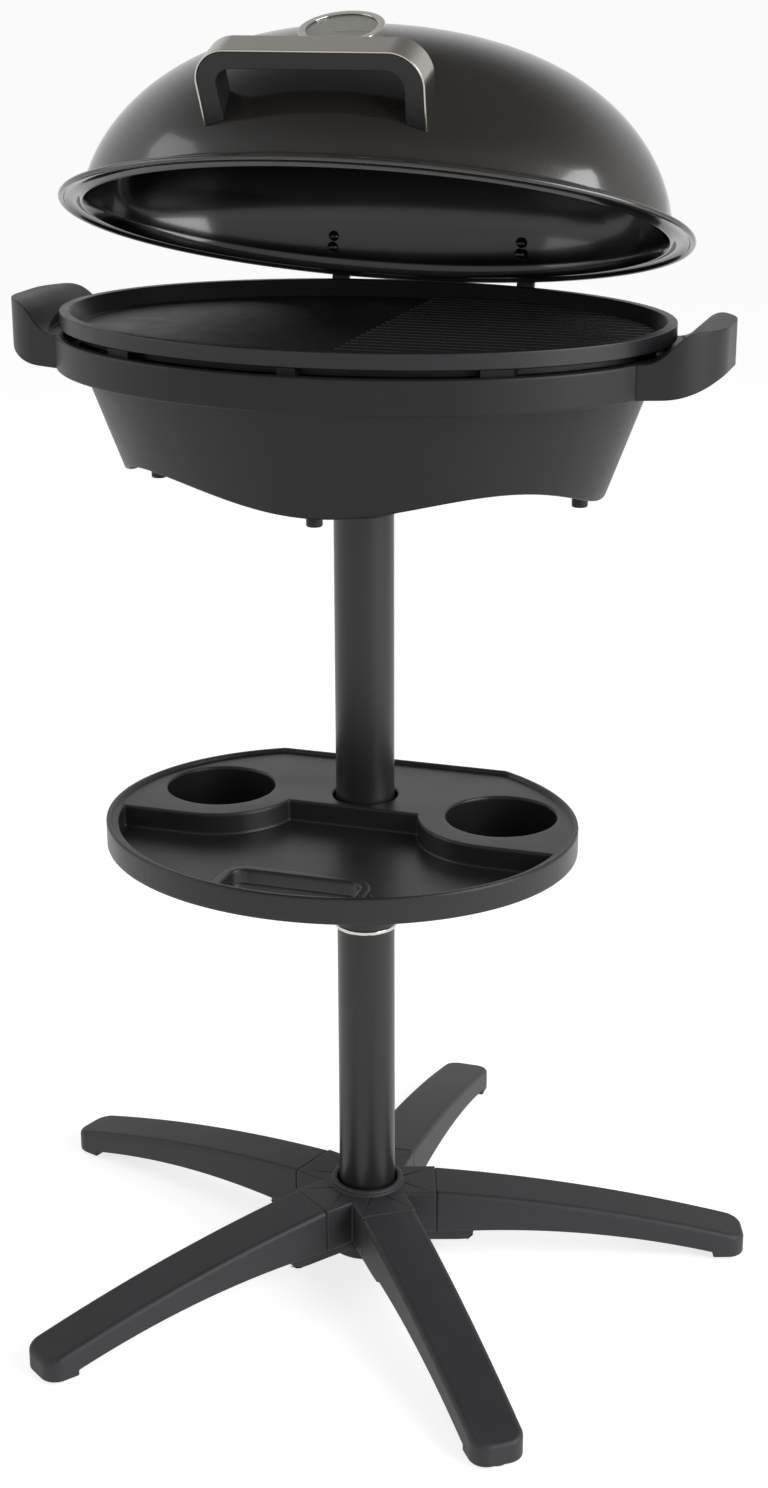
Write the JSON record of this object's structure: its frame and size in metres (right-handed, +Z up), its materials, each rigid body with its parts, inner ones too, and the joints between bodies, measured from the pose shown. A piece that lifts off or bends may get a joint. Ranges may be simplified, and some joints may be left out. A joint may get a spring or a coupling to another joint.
{
  "type": "free-standing electric grill",
  "caption": "Oval electric grill with a hinged dome lid, grill plate and waved housing on a column with an oval shelf tray and a five-leg base.",
  "frame": {"origin": "on the floor, under the middle of the five-leg footprint", "axes": "+Z up, the front with the lid handle faces -Y, +X to the right seen from the front"},
  "size_m": [0.6586, 0.6279, 1.0879],
  "materials": {
    "leg_plastic": "moulded matte charcoal plastic with a fine grain",
    "pad_rubber": "plain dark rubber",
    "tube_paint": "satin black powder coat on steel tube",
    "bright_steel": "bright polished steel",
    "tray_plastic": "satin black moulded plastic",
    "housing_plastic": "fine-grained charcoal heat-resistant plastic",
    "screw_steel": "plain zinc-plated steel",
    "reflector_sheet": "bright rolled aluminium sheet",
    "heater_steel": "dull heat-darkened steel sheath",
    "inlet_plastic": "black heat-resistant plastic",
    "contact_brass": "plain brass contacts",
    "support_plastic": "black heat-resistant plastic",
    "plate_coating": "dark non-stick coating on cast aluminium",
    "hinge_paint": "black painted steel",
    "lid_enamel": "glossy graphite enamel on steel sheet",
    "handle_plastic": "black moulded plastic",
    "strip_steel": "brushed stainless steel strip",
    "gauge_chrome": "polished steel",
    "dial_paint": "printed khaki-grey dial",
    "gauge_glass": "flat clear glass",
    "needle_paint": "dark painted pointer"
  },
  "bodies": {
    "stand": {"base_hub": "leg_plastic", "leg_front_right": "leg_plastic", "leg_right": "leg_plastic", "leg_rear": "leg_plastic", "leg_left": "leg_plastic", "leg_front_left": "leg_plastic", "leg_pads": "pad_rubber", "lower_tube": "tube_paint", "upper_tube": "tube_paint", "tube_coupling": "tube_paint", "joint_sleeve": "tube_paint", "joint_ring": "bright_steel"},
    "tray_body": {"tray": "tray_plastic"},
    "grill_head": {"housing": "housing_plastic", "left_handle": "housing_plastic", "right_handle": "housing_plastic", "handle_screws": "screw_steel", "column_socket": "housing_plastic", "socket_screws": "screw_steel", "table_feet": "housing_plastic", "reflector": "reflector_sheet", "heating_element": "heater_steel", "element_supports": "heater_steel", "power_inlet": "inlet_plastic", "inlet_pins": "contact_brass", "plate_supports": "support_plastic", "grill_plate": "plate_coating", "hinge_brackets": "hinge_paint", "hinge_pins": "screw_steel", "bracket_screws": "screw_steel"},
    "lid": {"lid_shell": "lid_enamel", "hinge_leaves": "hinge_paint", "hinge_bolts": "hinge_paint", "lid_handle_core": "handle_plastic", "lid_handle_strip": "strip_steel", "lid_handle_screws": "screw_steel", "thermometer_case": "gauge_chrome", "thermometer_bezel": "gauge_chrome", "thermometer_dial": "dial_paint", "thermometer_glass": "gauge_glass", "thermometer_nut": "screw_steel"},
    "needle": {"thermometer_needle": "needle_paint"}
  },
  "joints": [
    {"name": "tray_swivel", "type": "hinge", "parent": "stand", "child": "tray_body", "pos_m": [0, -0.02912, 0.424], "axis": [0, 0, 1], "continuous": true},
    {"name": "head_lift", "type": "slide", "parent": "stand", "child": "grill_head", "axis": [0, 0, 1], "range_m": [0, 0.055]},
    {"name": "lid_hinge", "type": "hinge", "parent": "grill_head", "child": "lid", "pos_m": [0, 0.16088, 0.831], "axis": [-1, 0, 0], "range_deg": [-21.2, 64]},
    {"name": "needle_turn", "type": "hinge", "parent": "lid", "child": "needle", "pos_m": [0, -0.07433, 1.07077], "axis": [0, 0.3196, -0.9476], "range_deg": [0, 270]}
  ]
}
